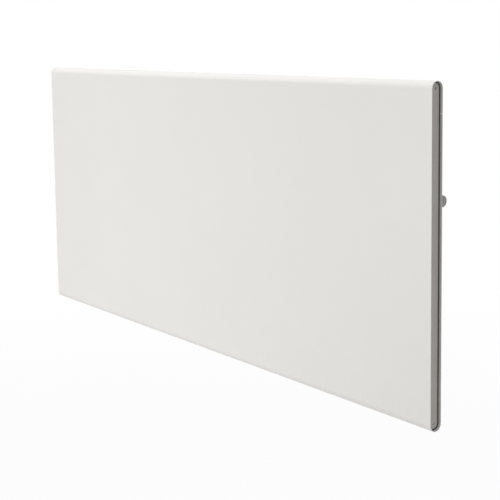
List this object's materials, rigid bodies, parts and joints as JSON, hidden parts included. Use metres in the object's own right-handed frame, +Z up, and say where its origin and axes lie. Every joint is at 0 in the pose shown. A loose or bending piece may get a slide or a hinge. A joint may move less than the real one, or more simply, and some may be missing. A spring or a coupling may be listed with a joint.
{
  "type": "electric radiator",
  "caption": "Slim wall-mounted electric panel heater with rolled edges, recessed end caps, a side thermostat dial and rocker switch, and a hook-on wall bracket.",
  "frame": {"origin": "middle of the back face of the wall bracket's rail, on the wall, at the middle of the panel's length and height", "axes": "+X along the panel to the end that carries the controls, +Y into the wall, +Z up"},
  "size_m": [0.82, 0.084, 0.37],
  "materials": {
    "white_paint": "satin white powder coat",
    "grey_plastic": "fine-grained warm grey moulding",
    "pale_grey_plastic": "fine-grained light grey moulding",
    "white_plastic": "fine-grained off-white moulding",
    "dark_plastic": "dark grey moulding",
    "zinc_steel": "zinc-plated steel",
    "aluminium": "extruded, unpainted",
    "steel_tube": "sheath of the heating rod, heat-tinted",
    "ceramic": "unglazed steatite",
    "circuit_board": "green solder mask",
    "black_rubber": "moulded rubber",
    "red_lens": "clear red moulding",
    "brown_lead": "silicone insulation",
    "blue_lead": "silicone insulation"
  },
  "bodies": {
    "heater": {"front_shell": "white_paint", "rear_sheet": "white_paint", "end_cap_right": "grey_plastic", "end_cap_left": "grey_plastic", "stiffener_left": "zinc_steel", "stiffener_centre": "zinc_steel", "stiffener_right": "zinc_steel", "housing_back": "white_paint", "housing_end_right": "zinc_steel", "housing_end_left": "zinc_steel", "outlet_grille": "white_paint", "inlet_grille": "white_paint", "housing_screw_1": "zinc_steel", "housing_screw_2": "zinc_steel", "housing_screw_3": "zinc_steel", "housing_screw_4": "zinc_steel", "element_extrusion": "aluminium", "element_hairpin": "steel_tube", "element_bracket_right": "zinc_steel", "element_bracket_left": "zinc_steel", "element_bush_upper": "ceramic", "element_bush_lower": "ceramic", "thermal_cutout": "dark_plastic", "lead_live": "brown_lead", "lead_neutral": "blue_lead", "lead_link": "brown_lead", "lead_grommet": "black_rubber", "control_base": "white_plastic", "control_cover": "white_plastic", "cover_screw_upper": "zinc_steel", "cover_screw_lower": "zinc_steel", "circuit_board": "circuit_board", "relay": "dark_plastic", "transformer": "dark_plastic", "capacitor": "dark_plastic", "potentiometer": "dark_plastic", "dial_collar": "white_plastic", "switch_housing": "dark_plastic", "indicator_lens": "red_lens", "terminal_block": "ceramic", "cable_gland": "white_plastic", "gland_locknut": "white_plastic", "gland_nut": "white_plastic", "sensor_grommet": "black_rubber", "sensor_probe": "white_plastic", "bracket_rail": "white_paint", "bracket_upright_left": "white_paint", "bracket_upright_right": "white_paint", "bracket_rivet_left": "zinc_steel", "bracket_rivet_right": "zinc_steel", "hanger_left": "zinc_steel", "hanger_right": "zinc_steel", "bumper_left": "black_rubber", "bumper_right": "black_rubber"},
    "dial": {"thermostat_dial": "pale_grey_plastic", "dial_shaft": "zinc_steel"},
    "rocker": {"rocker": "dark_plastic"},
    "lock_left": {"turn_lock_left": "dark_plastic"},
    "lock_right": {"turn_lock_right": "dark_plastic"}
  },
  "joints": [
    {"name": "dial_turn", "type": "hinge", "parent": "heater", "child": "dial", "pos_m": [0.372, -0.032, 0.0527], "axis": [1, 0, 0], "range_deg": [-135, 135]},
    {"name": "rocker_tilt", "type": "hinge", "parent": "heater", "child": "rocker", "pos_m": [0.3651, -0.0442, 0.0167], "axis": [0, 1, 0], "range_deg": [-16, 0]},
    {"name": "lock_left_turn", "type": "hinge", "parent": "heater", "child": "lock_left", "pos_m": [-0.212, -0.012, 0.112], "axis": [0, 0, 1], "range_deg": [-90, 0]},
    {"name": "lock_right_turn", "type": "hinge", "parent": "heater", "child": "lock_right", "pos_m": [0.212, -0.012, 0.112], "axis": [0, 0, 1], "range_deg": [0, 90]}
  ]
}
